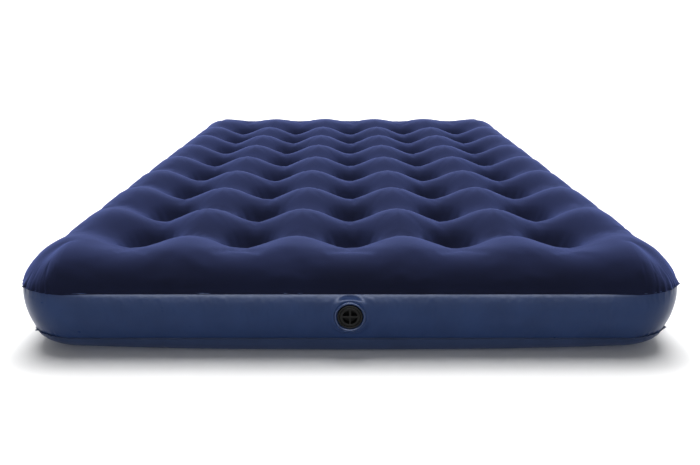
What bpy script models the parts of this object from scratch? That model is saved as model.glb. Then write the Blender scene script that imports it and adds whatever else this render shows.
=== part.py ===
"""Double air mattress with a flocked top, forty inner coils and a screw valve at the foot end.

Three welded sheets hold the air: a flocked top panel, a glossy side band and a bottom panel.
Forty vinyl coils tie the top panel to the bottom panel, and each one pulls a dimple into both.
The valve in the foot end is two screw pieces, one in the other: the large insert lets the air
out, and the small cap in it opens the inflation bore, which a hinged flap closes from inside.

Metres, +Z up, X across the bed, Y along it. The foot end with the valve is at -Y.
"""

import math

import bmesh
import bpy
from mathutils import Matrix, Vector

# Driving dimensions of the bed
WIDTH = 1.37
LENGTH = 1.91
HEIGHT = 0.22
COLUMNS = 5
ROWS = 8
PITCH_X = 0.230
PITCH_Y = 0.210
TOP_SEAM_Z = 0.141
BOTTOM_SEAM_Z = 0.040
TOP_GAUGE = 0.0005
SHEET_GAUGE = 0.0004
GAP = 0.0003

# The block of coils, and the margin from it to the outline of the bed
BLOCK_X = COLUMNS * PITCH_X / 2
BLOCK_Y = ROWS * PITCH_Y / 2
MARGIN_X = WIDTH / 2 - BLOCK_X
MARGIN_Y = LENGTH / 2 - BLOCK_Y
CORNER_POWER = 2.4
CORNER_STEPS = 4
TUCK_DEPTH = 0.052
TUCK_LENGTH = 0.200

# Dimples: a wave over the whole top, and a pit at each coil
WAVE_DEPTH = 0.064
PIT_DEPTH = 0.026
PIT_RADIUS = 0.085
SHOULDER_RADIUS = 0.078
FLOOR_RADIUS = 0.044
BOTTOM_DIMPLE_DEPTH = 0.045
BOTTOM_DIMPLE_RADIUS = 0.090
DIMPLE_SIDES = 8

# Rims, as insets from the outline
TOP_SEAM_INSET = 0.003
BOTTOM_SEAM_INSET = 0.012
REST_INSET = 0.048
RIM_POWER = 2.3
RIM_SADDLE_DROP = 0.013
RIM_WAVE_LEFT = 0.2
TOP_RIM_STEPS = 3
BOTTOM_RIM_STEPS = 2
SEAM_GAP = 0.0006

# Inner coils
COIL_RADIUS = 0.040
COIL_STEPS = 6
COIL_OPENING = math.radians(40)

# Valve: heights run along its axis, outward from the face of the side band
VALVE_Z = 0.094
VALVE_PROUD = 0.005
BAND_FLAT = 0.0375
THREAD_PITCH = 0.004
THREAD_TURNS = 1.5
THREAD_ROOT_WIDTH = 0.0012
THREAD_CREST_WIDTH = 0.0006
THREAD_BITE = 0.0005
TURNED_STEPS = 24
FINE_STEPS = 12
COLLAR_BASE_RADIUS = 0.032
BAND_HOLE_RADIUS = COLLAR_BASE_RADIUS + GAP
CROSS_WIDTH = 0.0042
CROSS_HALF_LENGTH = 0.0157
CROSS_TOP = 0.0036
POCKET_FLOOR = -0.0095
PLUG_END = -0.0110
HINGE_Y = 0.0156
HINGE_HEIGHT = -0.0209
HINGE_BORE = 0.00095
PIN_RADIUS = 0.00065
KNUCKLE_RADIUS = 0.0015
LUG_INNER_X = 0.0034
LUG_OUTER_X = 0.0056

# The cap stands proud at the foot end only, so the bed sits half of that back from the origin
BED_Y = VALVE_PROUD / 2
FOOT_FACE_Y = -LENGTH / 2

# Colours, roughness
NAVY_FLOCK = ((0.016, 0.020, 0.075, 1), 0.95)
NAVY_VINYL = ((0.022, 0.034, 0.105, 1), 0.30)
UNDERSIDE_VINYL = ((0.018, 0.028, 0.085, 1), 0.42)
COIL_VINYL = ((0.050, 0.075, 0.180, 1), 0.35)
BLACK_PLASTIC = ((0.012, 0.012, 0.013, 1), 0.38)
GREY_PLASTIC = ((0.060, 0.062, 0.066, 1), 0.40)
CLEAR_RUBBER = ((0.520, 0.540, 0.560, 1), 0.45)
PIN_STEEL = ((0.600, 0.610, 0.620, 1), 0.25)


def clear_scene():
    for leftover in list(bpy.data.objects):
        bpy.data.objects.remove(leftover)


def make_material(name, finish, metallic=0.0):
    colour, roughness = finish
    material = bpy.data.materials.new(name)
    material.use_nodes = True
    shader = material.node_tree.nodes["Principled BSDF"]
    shader.inputs["Base Color"].default_value = colour
    shader.inputs["Roughness"].default_value = roughness
    shader.inputs["Metallic"].default_value = metallic
    return material


def make_empty(name, location, parent=None, rotation=(0, 0, 0)):
    empty = bpy.data.objects.new(name, None)
    empty.location = location
    empty.rotation_euler = rotation
    empty.parent = parent
    bpy.context.collection.objects.link(empty)
    return empty


def add_object(name, bm, material, parent, location=(0, 0, 0)):
    """Turns a bmesh into a named object with outward faces."""
    mesh = bpy.data.meshes.new(name)
    bm.to_mesh(mesh)
    bm.free()
    mesh.materials.append(material)
    mesh.shade_smooth()
    mesh.set_sharp_from_angle(angle=math.radians(35))
    piece = bpy.data.objects.new(name, mesh)
    piece.location = location
    piece.parent = parent
    bpy.context.collection.objects.link(piece)
    return piece


def add_shell(piece, gauge):
    shell = piece.modifiers.new("Sheet gauge", "SOLIDIFY")
    shell.thickness = gauge
    shell.offset = -1
    shell.use_even_offset = True
    shell.use_rim = True


def combine(piece, tool, operation):
    """Joins a tool to a piece or cuts it away, and hides the tool."""
    boolean = piece.modifiers.new(operation.title(), "BOOLEAN")
    boolean.operation = operation
    boolean.solver = "EXACT"
    boolean.object = tool
    tool.hide_render = True
    tool.display_type = "WIRE"


# Panels of the bed

def smooth_fall(distance, radius):
    """1 at the centre, 0 from the radius out, with level ends."""
    t = min(distance / radius, 1.0)
    return 1 - t * t * (3 - 2 * t)


def top_height(x, y, centre):
    """Height of the inflated top at a point that the coil at centre pulls on."""
    wave_x = math.cos(2 * math.pi * (x - centre[0]) / PITCH_X)
    wave_y = math.cos(2 * math.pi * (y - centre[1]) / PITCH_Y)
    wave = (2 + wave_x + wave_y) / 4
    distance = math.hypot(x - centre[0], y - centre[1])
    return HEIGHT - WAVE_DEPTH * wave - PIT_DEPTH * smooth_fall(distance, PIT_RADIUS)


TOP_FLOOR_Z = HEIGHT - WAVE_DEPTH - PIT_DEPTH


def coil_centre(row, column):
    x = (column + 0.5) * PITCH_X - BLOCK_X
    y = (row + 0.5) * PITCH_Y - BLOCK_Y
    return x, y


def perimeter():
    """Stations once round the block, anticlockwise: half-pitch cell index and outward direction."""
    corners = [(0, 0), (2 * COLUMNS, 0), (2 * COLUMNS, 2 * ROWS), (0, 2 * ROWS)]
    outward = [Vector((0, -1)), Vector((1, 0)), Vector((0, 1)), Vector((-1, 0))]
    stations = []
    for side in range(4):
        start, end = corners[side], corners[(side + 1) % 4]
        steps = abs(end[0] - start[0]) + abs(end[1] - start[1])
        for step in range(steps + 1):
            i = start[0] + (end[0] - start[0]) * step // steps
            j = start[1] + (end[1] - start[1]) * step // steps
            stations.append((i, j, outward[side]))
        for step in range(1, CORNER_STEPS):
            angle = math.pi / 2 * step / CORNER_STEPS
            along = math.cos(angle) ** (2 / CORNER_POWER)
            across = math.sin(angle) ** (2 / CORNER_POWER)
            direction = outward[side] * along + outward[(side + 1) % 4] * across
            stations.append((end[0], end[1], direction))
    return stations


STATIONS = perimeter()


def rim_point(station, inset, z):
    """A point on the loop that runs inside the bed's outline by the given inset."""
    i, j, direction = station
    x = i * PITCH_X / 2 - BLOCK_X + direction.x * (MARGIN_X - inset)
    y = j * PITCH_Y / 2 - BLOCK_Y + direction.y * (MARGIN_Y - inset)
    return Vector((x, y, z))


def corner_tuck(station):
    """How much further in the underside leaves the floor, deepest at the corners of the bed."""
    edge = rim_point(station, 0.0, 0.0)
    from_corner = (WIDTH / 2 - abs(edge.x)) + (LENGTH / 2 - abs(edge.y))
    return TUCK_DEPTH * math.exp(-from_corner / TUCK_LENGTH)


def add_faces_between(bm, ring_a, ring_b, closed=True):
    """Quads, or triangles where a ring repeats a vertex, between two rings of equal length."""
    count = len(ring_a)
    for k in range(count if closed else count - 1):
        following = (k + 1) % count
        corners = [ring_a[k], ring_b[k], ring_b[following], ring_a[following]]
        unique = list(dict.fromkeys(corners))
        if len(unique) > 2:
            bm.faces.new(unique)


def build_panel(bm, lattice_z, ring_specs, rim_rings):
    """One dimpled panel: a cell round every coil, then rings out to the seam.

    lattice_z gives the height at a cell's edge, ring_specs the radius and height rule of each
    ring in a dimple, and rim_rings the inset, height rule and share of the corner tuck of each
    loop out to the seam.
    """
    lattice = {}
    for i in range(2 * COLUMNS + 1):
        for j in range(2 * ROWS + 1):
            if i % 2 and j % 2:
                continue
            x = i * PITCH_X / 2 - BLOCK_X
            y = j * PITCH_Y / 2 - BLOCK_Y
            lattice[i, j] = bm.verts.new((x, y, lattice_z(i, j)))
    cell_edge = [(1, 0), (1, 1), (0, 1), (-1, 1), (-1, 0), (-1, -1), (0, -1), (1, -1)]
    for row in range(ROWS):
        for column in range(COLUMNS):
            centre = coil_centre(row, column)
            i, j = 2 * column + 1, 2 * row + 1
            outer = [lattice[i + di, j + dj] for di, dj in cell_edge]
            for radius, height_rule in ring_specs:
                ring = []
                for k in range(DIMPLE_SIDES):
                    angle = 2 * math.pi * k / DIMPLE_SIDES
                    x = centre[0] + radius * math.cos(angle)
                    y = centre[1] + radius * math.sin(angle)
                    ring.append(bm.verts.new((x, y, height_rule(x, y, centre))))
                add_faces_between(bm, ring, outer)
                outer = ring
            bm.faces.new(outer)
    inner = [lattice[i, j] for i, j, direction in STATIONS]
    edge_heights = [vertex.co.z for vertex in inner]
    for inset, rim_rule, tucked in rim_rings:
        points = []
        for station, edge_z in zip(STATIONS, edge_heights):
            points.append(rim_point(station, inset + tucked * corner_tuck(station), rim_rule(edge_z)))
        loop = [bm.verts.new(point) for point in points]
        add_faces_between(bm, inner, loop)
        inner = loop


def make_top_panel(material, parent):
    seam_z = TOP_SEAM_Z + SEAM_GAP

    def lattice_z(i, j):
        if i % 2 == 0 and j % 2 == 0:
            return HEIGHT
        on_rim = i in (0, 2 * COLUMNS) or j in (0, 2 * ROWS)
        return HEIGHT - (RIM_SADDLE_DROP if on_rim else WAVE_DEPTH / 2)

    def floor_rule(x, y, centre):
        return TOP_FLOOR_Z

    rim_rings = []
    reach = MARGIN_Y - TOP_SEAM_INSET
    for step in range(1, TOP_RIM_STEPS + 1):
        out = math.sin(math.pi / 2 * step / TOP_RIM_STEPS)
        level = (1 - out ** RIM_POWER) ** (1 / RIM_POWER)
        wave_left = RIM_WAVE_LEFT if step == 1 else 0

        def rim_rule(edge_z, level=level, wave_left=wave_left):
            crest_z = HEIGHT - (HEIGHT - edge_z) * wave_left
            return seam_z + (crest_z - seam_z) * level

        rim_rings.append((MARGIN_Y - reach * out, rim_rule, 0.0))
    bm = bmesh.new()
    rings = [(SHOULDER_RADIUS, top_height), (FLOOR_RADIUS, floor_rule)]
    build_panel(bm, lattice_z, rings, rim_rings)
    bmesh.ops.recalc_face_normals(bm, faces=bm.faces)
    piece = add_object("top_panel", bm, material, parent)
    add_shell(piece, TOP_GAUGE)
    return piece


def make_bottom_panel(material, parent):
    seam_z = BOTTOM_SEAM_Z - SEAM_GAP

    def rest_rule(x, y, centre):
        return 0.0

    def floor_rule(x, y, centre):
        return BOTTOM_DIMPLE_DEPTH

    rim_rings = [(REST_INSET, lambda z: 0.0, 1.0)]
    reach = REST_INSET - BOTTOM_SEAM_INSET
    for step in range(1, BOTTOM_RIM_STEPS + 1):
        angle = math.pi / 2 * step / BOTTOM_RIM_STEPS
        inset = REST_INSET - reach * math.sin(angle)
        rise = 1 - math.cos(angle)
        rim_rings.append((inset, lambda z, rise=rise: seam_z * rise, 1 - math.sin(angle)))
    bm = bmesh.new()
    rings = [(BOTTOM_DIMPLE_RADIUS, rest_rule), (FLOOR_RADIUS, floor_rule)]
    build_panel(bm, lambda i, j: 0.0, rings, rim_rings)
    bmesh.ops.reverse_faces(bm, faces=bm.faces)
    piece = add_object("bottom_panel", bm, material, parent)
    add_shell(piece, SHEET_GAUGE)
    return piece


def make_side_band(material, parent):
    """The glossy wall, upright where the valve is and drawn in at both seams."""
    profile = [
        (TOP_SEAM_INSET, TOP_SEAM_Z),
        (0.0, VALVE_Z + BAND_FLAT),
        (0.0, VALVE_Z - BAND_FLAT),
        (BOTTOM_SEAM_INSET / 2, BOTTOM_SEAM_Z + 0.0075),
        (BOTTOM_SEAM_INSET, BOTTOM_SEAM_Z),
    ]
    bm = bmesh.new()
    loops = []
    for inset, z in profile:
        loops.append([bm.verts.new(rim_point(station, inset, z)) for station in STATIONS])
    for upper, lower in zip(loops, loops[1:]):
        add_faces_between(bm, upper, lower)
    piece = add_object("side_band", bm, material, parent)
    add_shell(piece, SHEET_GAUGE)
    return piece


def make_coils(material, parent):
    """A strip of vinyl bent into an open loop under every dimple, air passing at its opening."""
    low = BOTTOM_DIMPLE_DEPTH + SHEET_GAUGE + GAP
    high = TOP_FLOOR_Z - TOP_GAUGE - GAP
    bm = bmesh.new()
    sections = []
    for step in range(COIL_STEPS + 1):
        turn = COIL_OPENING / 2 + (2 * math.pi - COIL_OPENING) * step / COIL_STEPS
        section = []
        for radius, z in (
            (COIL_RADIUS, low),
            (COIL_RADIUS, high),
            (COIL_RADIUS - SHEET_GAUGE, high),
            (COIL_RADIUS - SHEET_GAUGE, low),
        ):
            section.append(bm.verts.new((radius * math.cos(turn), radius * math.sin(turn), z)))
        sections.append(section)
    for section, following in zip(sections, sections[1:]):
        add_faces_between(bm, section, following)
    bm.faces.new(sections[0])
    bm.faces.new(sections[-1])
    bmesh.ops.recalc_face_normals(bm, faces=bm.faces)
    first = None
    for row in range(ROWS):
        for column in range(COLUMNS):
            name = f"coil_r{row + 1}_c{column + 1}"
            location = (*coil_centre(row, column), 0)
            if first is None:
                first = add_object(name, bm, material, parent, location)
                continue
            coil = bpy.data.objects.new(name, first.data)
            coil.location = location
            coil.parent = parent
            bpy.context.collection.objects.link(coil)


# Turned and threaded pieces of the valve

def turned(name, profile, material, parent, steps=TURNED_STEPS):
    """Turns a closed profile of (height, radius) points round the local Z axis."""
    bm = bmesh.new()
    rings = []
    for height, radius in profile:
        if radius == 0:
            rings.append([bm.verts.new((0, 0, height))] * steps)
            continue
        ring = []
        for k in range(steps):
            angle = 2 * math.pi * k / steps
            ring.append(bm.verts.new((radius * math.cos(angle), radius * math.sin(angle), height)))
        rings.append(ring)
    pierced = profile[0][1] > 0
    pairs = list(zip(rings, rings[1:]))
    if pierced:
        pairs.append((rings[-1], rings[0]))
    for ring, following in pairs:
        add_faces_between(bm, ring, following)
    bmesh.ops.recalc_face_normals(bm, faces=bm.faces)
    return add_object(name, bm, material, parent)


def thread_ridge(name, root, crest, start, material, parent):
    """A right-hand ridge; the root lies inside the wall that it grows from."""
    steps = round(TURNED_STEPS * THREAD_TURNS)
    bm = bmesh.new()
    sections = []
    for step in range(steps + 1):
        angle = 2 * math.pi * step / TURNED_STEPS
        middle = start + THREAD_PITCH * step / TURNED_STEPS
        section = []
        for radius, offset in (
            (root, -THREAD_ROOT_WIDTH / 2),
            (crest, -THREAD_CREST_WIDTH / 2),
            (crest, THREAD_CREST_WIDTH / 2),
            (root, THREAD_ROOT_WIDTH / 2),
        ):
            x, y = radius * math.cos(angle), radius * math.sin(angle)
            section.append(bm.verts.new((x, y, middle + offset)))
        sections.append(section)
    for section, following in zip(sections, sections[1:]):
        add_faces_between(bm, section, following)
    bm.faces.new(sections[0])
    bm.faces.new(sections[-1])
    bmesh.ops.recalc_face_normals(bm, faces=bm.faces)
    return add_object(name, bm, material, parent)


def block(name, low, high, material, parent):
    """A box between two corners."""
    size = Vector(high) - Vector(low)
    middle = (Vector(high) + Vector(low)) / 2
    bm = bmesh.new()
    bmesh.ops.create_cube(bm, size=1, matrix=Matrix.Translation(middle) @ Matrix.Diagonal((*size, 1)))
    return add_object(name, bm, material, parent)


def bar(name, radius, low_x, high_x, material, parent, y=HINGE_Y, height=HINGE_HEIGHT):
    """A round bar along X, by default on the flap's hinge line."""
    bm = bmesh.new()
    place = Matrix.Translation(((low_x + high_x) / 2, y, height)) @ Matrix.Rotation(math.pi / 2, 4, "Y")
    bmesh.ops.create_cone(
        bm,
        cap_ends=True,
        segments=FINE_STEPS,
        radius1=radius,
        radius2=radius,
        depth=high_x - low_x,
        matrix=place,
    )
    return add_object(name, bm, material, parent)


# Radii of the two screw joints, each a male root and crest in a female root and crest
INSERT_ROOT = 0.0210
INSERT_CREST = 0.0223
BASE_ROOT = 0.0228
BASE_CREST = 0.0219
PLUG_ROOT = 0.0162
PLUG_CREST = 0.0174
BORE_ROOT = 0.0180
BORE_CREST = 0.0170
INSERT_THREAD_START = -0.0130
PLUG_THREAD_START = -0.0095
MATING_OFFSET = -THREAD_PITCH / 2


def make_valve_flange(material, axis):
    """Soft collar that shows outside, weld skirt behind the band, and neck round the base."""
    turned("valve_flange", [
        (0.0040, 0.0260),
        (0.0048, 0.0268),
        (0.0048, 0.0282),
        (0.0040, 0.0290),
        (0.0002, COLLAR_BASE_RADIUS),
        (-0.0007, COLLAR_BASE_RADIUS),
        (-0.0007, 0.0365),
        (-0.0017, 0.0365),
        (-0.0017, 0.0305),
        (-0.0060, 0.0270),
        (-0.0213, 0.0270),
        (-0.0213, 0.0248),
        (-0.0058, 0.0248),
        (-0.0058, 0.0260),
    ], material, axis)


def make_valve_base(material, axis):
    base = turned("valve_base", [
        (-0.0055, BASE_ROOT),
        (-0.0055, 0.0245),
        (-0.0210, 0.0245),
        (-0.0210, BASE_ROOT),
    ], material, axis)
    start = INSERT_THREAD_START + MATING_OFFSET
    ridge = thread_ridge("base_thread_guide", BASE_ROOT + THREAD_BITE, BASE_CREST, start, material, axis)
    combine(base, ridge, "UNION")


def make_valve_insert(material, axis):
    """Large screw piece: a rim to grip, a threaded tube, a seat plate and two hinge lugs."""
    insert = turned("valve_insert", [
        (0.0050, 0.0217),
        (0.0050, 0.0246),
        (0.0046, 0.0250),
        (-0.0035, 0.0250),
        (-0.0035, INSERT_ROOT),
        (-0.0190, INSERT_ROOT),
        (-0.0190, 0.0115),
        (-0.0175, 0.0115),
        (-0.0175, BORE_ROOT),
        (-0.0015, BORE_ROOT),
        (-0.0015, 0.0213),
        (0.0046, 0.0213),
    ], material, axis)
    outer = thread_ridge(
        "insert_thread_guide", INSERT_ROOT - THREAD_BITE, INSERT_CREST, INSERT_THREAD_START, material, axis)
    start = PLUG_THREAD_START + MATING_OFFSET
    inner = thread_ridge("bore_thread_guide", BORE_ROOT + THREAD_BITE, BORE_CREST, start, material, axis)
    combine(insert, outer, "UNION")
    combine(insert, inner, "UNION")
    for side, low_x, high_x in (("left", -LUG_OUTER_X, -LUG_INNER_X), ("right", LUG_INNER_X, LUG_OUTER_X)):
        low = (low_x, HINGE_Y - 0.0014, HINGE_HEIGHT - 0.0013)
        high = (high_x, HINGE_Y + 0.0014, -0.0180)
        lug = block(f"lug_guide_{side}", low, high, material, axis)
        combine(insert, lug, "UNION")
    bore = bar("lug_bore_guide", HINGE_BORE, -0.0070, 0.0070, material, axis)
    combine(insert, bore, "DIFFERENCE")


def make_valve_cap(material, axis):
    """Small screw piece: a rim and a threaded cup, whose deep pocket a cross divides in four."""
    cap = turned("valve_cap", [
        (POCKET_FLOOR, 0.0),
        (POCKET_FLOOR, 0.0150),
        (0.0041, 0.0150),
        (0.0045, 0.0154),
        (0.0045, 0.0202),
        (0.0041, 0.0206),
        (0.0001, 0.0206),
        (0.0001, PLUG_ROOT),
        (PLUG_END, PLUG_ROOT),
        (PLUG_END, 0.0),
    ], material, axis)
    ridge = thread_ridge(
        "plug_thread_guide", PLUG_ROOT - THREAD_BITE, PLUG_CREST, PLUG_THREAD_START, material, axis)
    combine(cap, ridge, "UNION")
    half = CROSS_WIDTH / 2
    bottom = (POCKET_FLOOR + PLUG_END) / 2
    upright = block(
        "cross_guide_up",
        (-half, -CROSS_HALF_LENGTH, bottom),
        (half, CROSS_HALF_LENGTH, CROSS_TOP),
        material,
        axis,
    )
    level = block(
        "cross_guide_across",
        (-CROSS_HALF_LENGTH, -half, bottom),
        (CROSS_HALF_LENGTH, half, CROSS_TOP),
        material,
        axis,
    )
    combine(cap, upright, "UNION")
    combine(cap, level, "UNION")


def make_seal(name, low, high, inner, outer, material, axis):
    """A washer with its edges taken off."""
    edge = (high - low) / 4
    turned(name, [
        (low + edge, inner),
        (high - edge, inner),
        (high, inner + edge),
        (high, outer - edge),
        (high - edge, outer),
        (low + edge, outer),
        (low, outer - edge),
        (low, inner + edge),
    ], material, axis)


def make_valve_flap(material, hinge):
    """A disc that closes the bore from inside, on a knuckle whose middle is the local origin."""
    bm = bmesh.new()
    place = Matrix.Translation((0, -HINGE_Y, 0.0010))
    bmesh.ops.create_cone(
        bm,
        cap_ends=True,
        segments=TURNED_STEPS,
        radius1=0.0136,
        radius2=0.0136,
        depth=0.0010,
        matrix=place,
    )
    flap = add_object("valve_flap", bm, material, hinge)
    tab = block("tab_guide", (-0.0030, -0.0030, 0.00055), (0.0030, 0.0, 0.00145), material, hinge)
    knuckle = bar("knuckle_guide", KNUCKLE_RADIUS, -0.0030, 0.0030, material, hinge, 0, 0)
    bore = bar("knuckle_bore_guide", HINGE_BORE, -0.0040, 0.0040, material, hinge, 0, 0)
    combine(flap, tab, "UNION")
    combine(flap, knuckle, "UNION")
    combine(flap, bore, "DIFFERENCE")


def make_flap_pin(material, axis):
    pin = bar("flap_pin", PIN_RADIUS, -0.0065, 0.0065, material, axis)
    head_start = LUG_OUTER_X + GAP
    for side, low_x, high_x in (("left", -0.0067, -head_start), ("right", head_start, 0.0067)):
        head = bar(f"pin_head_guide_{side}", 0.0013, low_x, high_x, material, axis)
        combine(pin, head, "UNION")


def cut_valve_hole(band, material, axis):
    bm = bmesh.new()
    bmesh.ops.create_cone(
        bm,
        cap_ends=True,
        segments=TURNED_STEPS,
        radius1=BAND_HOLE_RADIUS,
        radius2=BAND_HOLE_RADIUS,
        depth=0.012,
    )
    bmesh.ops.rotate(bm, verts=bm.verts, matrix=Matrix.Rotation(math.pi / TURNED_STEPS, 3, "Z"))
    hole = add_object("band_hole_guide", bm, material, axis)
    combine(band, hole, "DIFFERENCE")


def build():
    clear_scene()
    flock = make_material("navy_flock", NAVY_FLOCK)
    vinyl = make_material("navy_vinyl", NAVY_VINYL)
    underside = make_material("underside_vinyl", UNDERSIDE_VINYL)
    coil_vinyl = make_material("coil_vinyl", COIL_VINYL)
    black = make_material("black_plastic", BLACK_PLASTIC)
    grey = make_material("grey_plastic", GREY_PLASTIC)
    rubber = make_material("clear_rubber", CLEAR_RUBBER)
    steel = make_material("pin_steel", PIN_STEEL, 1.0)

    bed = make_empty("bed", (0, BED_Y, 0))
    axis = make_empty("valve_axis", (0, FOOT_FACE_Y, VALVE_Z), bed, (math.pi / 2, 0, 0))
    hinge = make_empty("flap_hinge", (0, HINGE_Y, HINGE_HEIGHT), axis)

    make_top_panel(flock, bed)
    make_bottom_panel(underside, bed)
    band = make_side_band(vinyl, bed)
    make_coils(coil_vinyl, bed)

    make_valve_flange(vinyl, axis)
    make_valve_base(grey, axis)
    make_seal("insert_seal", -0.0052, -0.0038, 0.0226, 0.0246, rubber, axis)
    make_valve_insert(black, axis)
    make_seal("cap_seal", -0.0012, -0.0002, 0.0184, 0.0208, rubber, axis)
    make_valve_cap(black, axis)
    make_valve_flap(rubber, hinge)
    make_flap_pin(steel, axis)
    cut_valve_hole(band, vinyl, axis)


build()
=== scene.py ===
"""Looks of the flocked air mattress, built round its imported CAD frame.

The three sheets of the bed are fine shells on the CAD outline: a dimpled top with a flocked
finish, a glossy band that puckers along its weld, and an underside with its own dimples. Air
pressure swells the top and the band between their welds in a short cloth simulation. The coils
inside and the screw valve are rebuilt finely on the bodies that carry them.
"""

import math

import bmesh
import bpy
import numpy as np
from mathutils import Matrix, Vector


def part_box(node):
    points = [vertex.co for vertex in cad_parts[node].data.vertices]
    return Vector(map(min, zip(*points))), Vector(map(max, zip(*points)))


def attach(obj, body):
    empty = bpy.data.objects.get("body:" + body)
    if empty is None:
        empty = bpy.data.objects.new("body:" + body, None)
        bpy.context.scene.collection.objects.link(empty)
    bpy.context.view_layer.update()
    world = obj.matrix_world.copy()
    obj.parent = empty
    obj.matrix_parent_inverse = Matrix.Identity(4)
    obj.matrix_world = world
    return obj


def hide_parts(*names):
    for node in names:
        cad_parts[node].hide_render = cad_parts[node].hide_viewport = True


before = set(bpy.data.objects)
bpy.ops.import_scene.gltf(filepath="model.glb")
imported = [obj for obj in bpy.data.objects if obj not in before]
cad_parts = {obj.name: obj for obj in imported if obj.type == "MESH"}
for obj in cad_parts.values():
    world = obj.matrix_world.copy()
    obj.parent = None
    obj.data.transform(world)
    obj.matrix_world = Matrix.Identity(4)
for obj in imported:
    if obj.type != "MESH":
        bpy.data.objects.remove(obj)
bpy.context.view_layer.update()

# Places and sizes that the frame gives
BAND_LOW, BAND_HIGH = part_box("side_band")
CAP_LOW, CAP_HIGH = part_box("valve_cap")
FIRST_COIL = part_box("coil_r1_c1")
NEXT_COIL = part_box("coil_r2_c2")
COLUMNS = 5
ROWS = 8
PITCH_X = NEXT_COIL[0].x - FIRST_COIL[0].x
PITCH_Y = NEXT_COIL[0].y - FIRST_COIL[0].y
HALF_X = (BAND_HIGH.x - BAND_LOW.x) / 2
HALF_Y = (BAND_HIGH.y - BAND_LOW.y) / 2
BED_Y = (BAND_HIGH.y + BAND_LOW.y) / 2
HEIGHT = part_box("top_panel")[1].z
BLOCK_X = COLUMNS * PITCH_X / 2
BLOCK_Y = ROWS * PITCH_Y / 2
MARGIN_X = HALF_X - BLOCK_X
MARGIN_Y = HALF_Y - BLOCK_Y
VALVE = Vector((0, BAND_LOW.y, (CAP_LOW.z + CAP_HIGH.z) / 2))

# How finely each sheet's outline is divided: along a side across the bed, along a long side
# of it, and round a corner
TOP_CORNER_STEPS = 72
UNDER_CORNER_STEPS = 56
BAND_STEPS = (336, 400)
BAND_CORNER_STEPS = 84

# Outline and seams, metres
CORNER_POWER = 2.4
CORNER_TURN_SPAN = (0.02, 0.50)
CORNER_INSET_SPAN = (0.05, 0.20)
TOP_SEAM_Z = 0.1405
TOP_SEAM_INSET = 0.0090
TOP_SEAM_CORNER_INSET = 0.0025
BOTTOM_SEAM_Z = 0.0385
BOTTOM_SEAM_INSET = 0.0140
REST_INSET = 0.040
TUCK_DEPTH = 0.085
TUCK_LENGTH = 0.160
CORNER_LIFT = 0.007
TOP_CORNER_LIFT = 0.006
TOP_GAUGE = 0.0006
FILM_GAUGE = 0.0004

# Folds that gather at the corners: lengths along the seam
PLEAT_LENGTH = 0.0230
PLEAT_CREASE_LENGTH = 0.0075
PLEAT_WANDER_LENGTH = 0.045
PLEAT_STRENGTH_LENGTH = 0.030

# Dimples of the top: a wave over all of it, and a pit with a domed floor at each coil
WAVE_DEPTH = 0.064
WAVE_FADE_START = 0.0
WAVE_FADE_END = 0.180
PIT_FLOOR_Z = 0.1305
PIT_FLOOR_RADIUS = 0.034
PIT_RADIUS = 0.074
WELD_RADIUS = 0.0385
WELD_DEPTH = 0.0010
WELD_WIDTH = 0.0022
DOME_HEIGHT = 0.0035
FOLD_DEPTH = 0.0006
FOLD_RADIUS = 0.047
FOLD_WIDTH = 0.008
FOLDS = 13
SLOW_FOLDS = 9
COLUMN_PHASE = 7.3
ROW_PHASE = 3.1

# Rim of the top, down to its seam and the lip that covers the band's edge
END_RIM_POWER = 2.7
SIDE_RIM_POWER = 1.85
CORNER_RIM_POWER = 1.45
RIM_RINGS = 19
RIM_ROUGHNESS = 0.0003
RIM_GATHER_HEIGHT = 0.009
TOP_PLEAT_PUSH = 0.0040
TOP_PLEAT_LIFT = 0.0014
TOP_LIFT_GATHER = 0.006
TOP_LIP_OUT = 0.0020
TOP_LIP_PLEAT = 0.0012
TOP_LIP_DOWN = 0.0020
SAG = 0.0012
SAG_SWING = 0.0008
SAG_RISE = 0.03

# Side band
BAND_WIDEST_Z = 0.111
BAND_TOP_OVERLAP = 0.0008
BAND_TOP_TUCK = 0.0006
BAND_TOP_PUCKER = 0.00050
BAND_LOW_PUCKER = 0.00035
BAND_SLOW_WAVE = 0.0005
BAND_TOP_PLEAT = 0.0026
BAND_LOW_PLEAT = 0.0024
BAND_PLEAT_LIFT = 0.0012
BAND_SEAM_WANDER = 0.0002
BAND_MOST_PUSH = 0.0012
TOP_PUCKER_DROP = 0.0065
TOP_PUCKER_SPREAD = 0.0075
LOW_PUCKER_RISE = 0.004
LOW_PUCKER_SPREAD = 0.006
BAND_TOP_GATHER = 0.010
BAND_LOW_GATHER = 0.008
BAND_LIFT_GATHER = 0.006
COLLAR_HOLE = 0.0324
VALVE_FLAT = 0.034
VALVE_BLEND = 0.045
SKIRT_RADIUS = 0.0365
SKIRT_RISE = 0.0021

# Dimples of the underside
UNDER_DIMPLE_DEPTH = 0.045
UNDER_DIMPLE_RADIUS = 0.092
UNDER_FLOOR_RADIUS = 0.036

# Rim of the underside, up to its seam
REST_RINGS = 3
CURVE_RINGS = 10
UNDER_GATHER_HEIGHT = 0.006
UNDER_PLEAT_PUSH = 0.0024
UNDER_LIP_OUT = 0.0016
UNDER_LIP_CORNER = 0.0014
UNDER_LIP_PLEAT = 0.0026
UNDER_LIP_DOWN = 0.0006


# Noise and curves

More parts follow.
